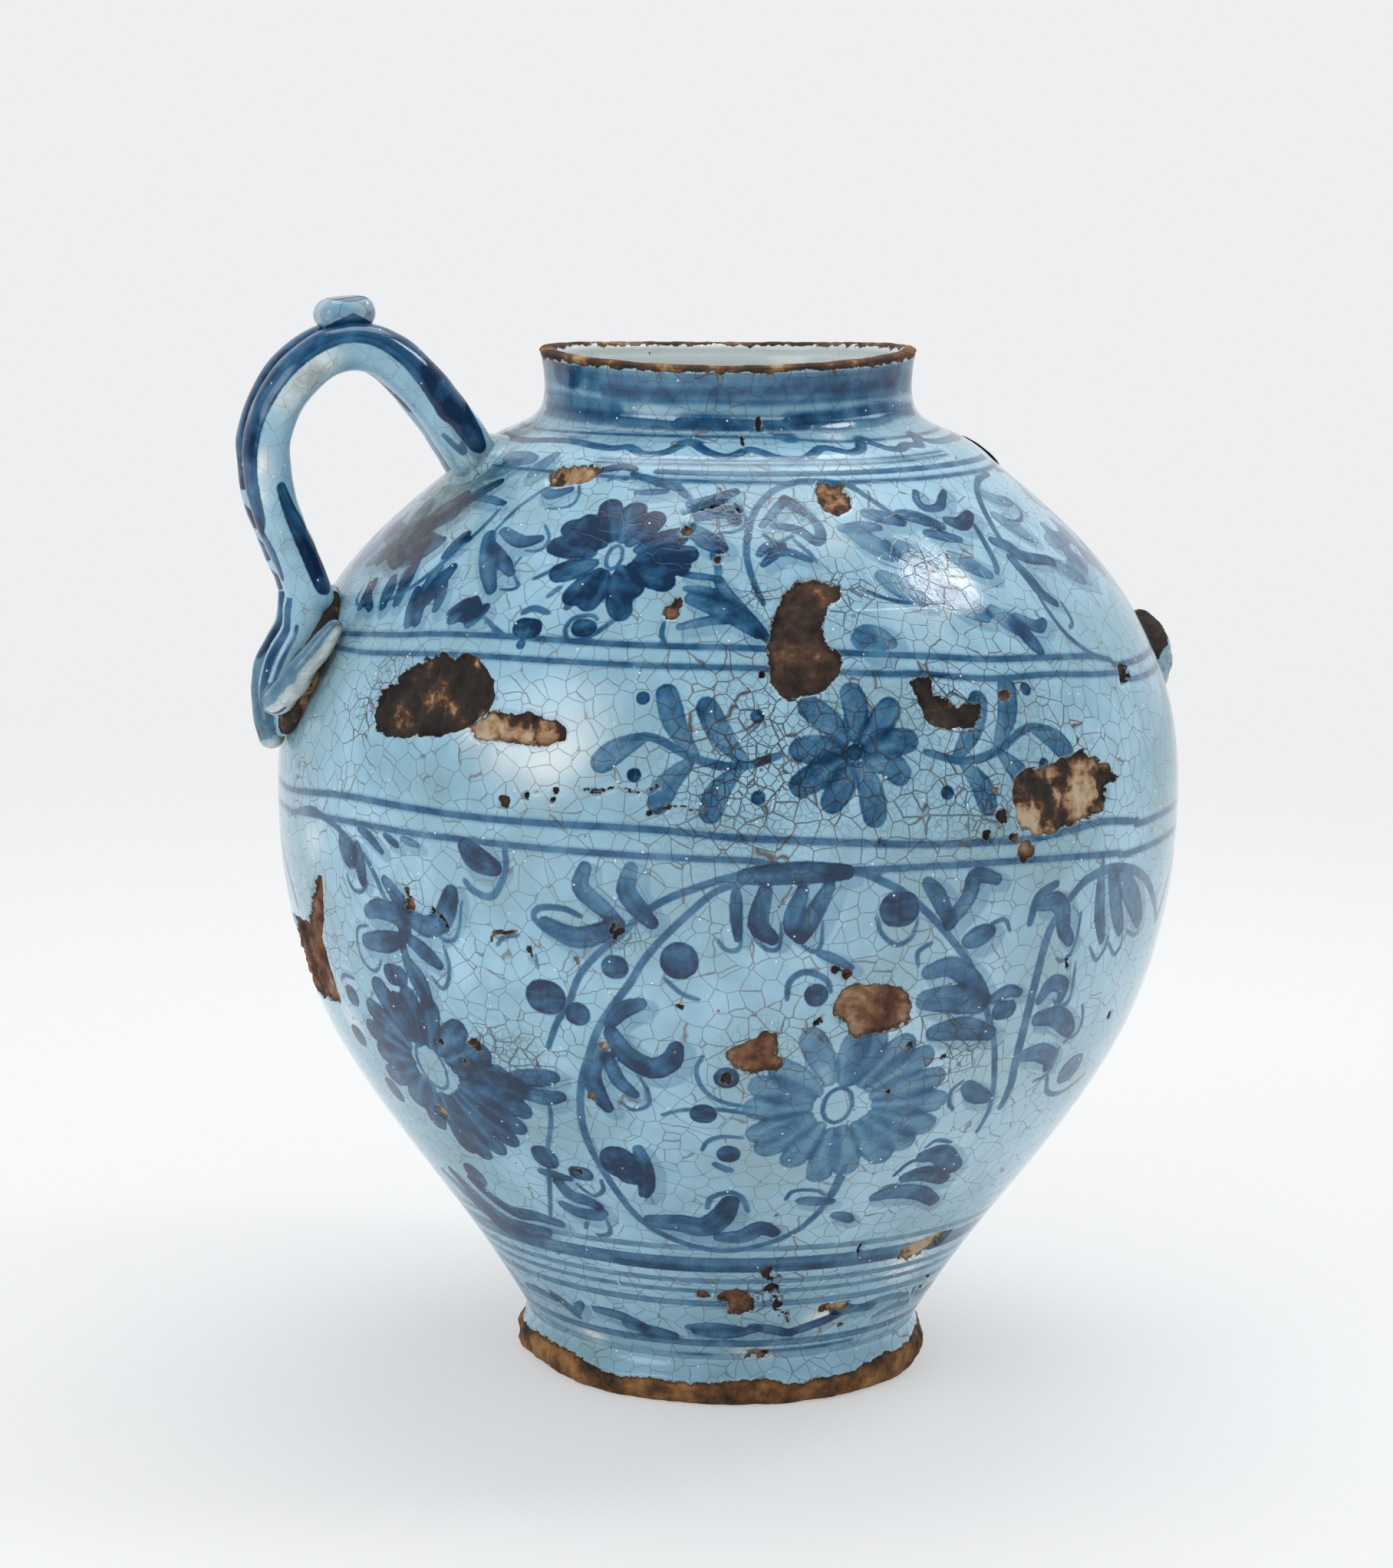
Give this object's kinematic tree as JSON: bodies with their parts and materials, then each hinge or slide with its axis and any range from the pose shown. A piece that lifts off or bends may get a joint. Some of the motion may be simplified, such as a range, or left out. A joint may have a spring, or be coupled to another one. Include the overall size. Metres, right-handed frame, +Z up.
{
  "type": "two-handled jug",
  "caption": "Round-bellied tin-glazed storage jug with a short neck, a foot ring and a double-roll loop handle; its second handle is lost.",
  "frame": {"origin": "centre of the foot's underside, where the jug stands on the table", "axes": "+Z up, out of the mouth; -X towards the whole handle, +X towards the lost one's scars"},
  "size_m": [0.2829, 0.2656, 0.3155],
  "materials": {
    "blue_glaze": "light blue tin glaze, glossy and crackled, with cobalt brushwork",
    "cobalt_glaze": "light blue glaze almost covered with cobalt brushwork",
    "bare_clay": "bare fired clay, brown with wear",
    "old_break": "old break, darkened"
  },
  "bodies": {
    "root": {"base_disc": "bare_clay", "foot_ring": "bare_clay", "lower_wall": "blue_glaze", "shoulder_wall": "blue_glaze", "neck_collar": "blue_glaze", "lip_rim": "bare_clay", "handle_near_roll": "blue_glaze", "handle_far_roll": "blue_glaze", "thumb_knob": "cobalt_glaze", "handle_upper_luting": "blue_glaze", "handle_lower_luting": "bare_clay", "handle_lower_curl_near": "blue_glaze", "handle_lower_curl_far": "blue_glaze", "lost_handle_lower_stub": "old_break", "lost_handle_upper_scar": "old_break"}
  },
  "joints": []
}
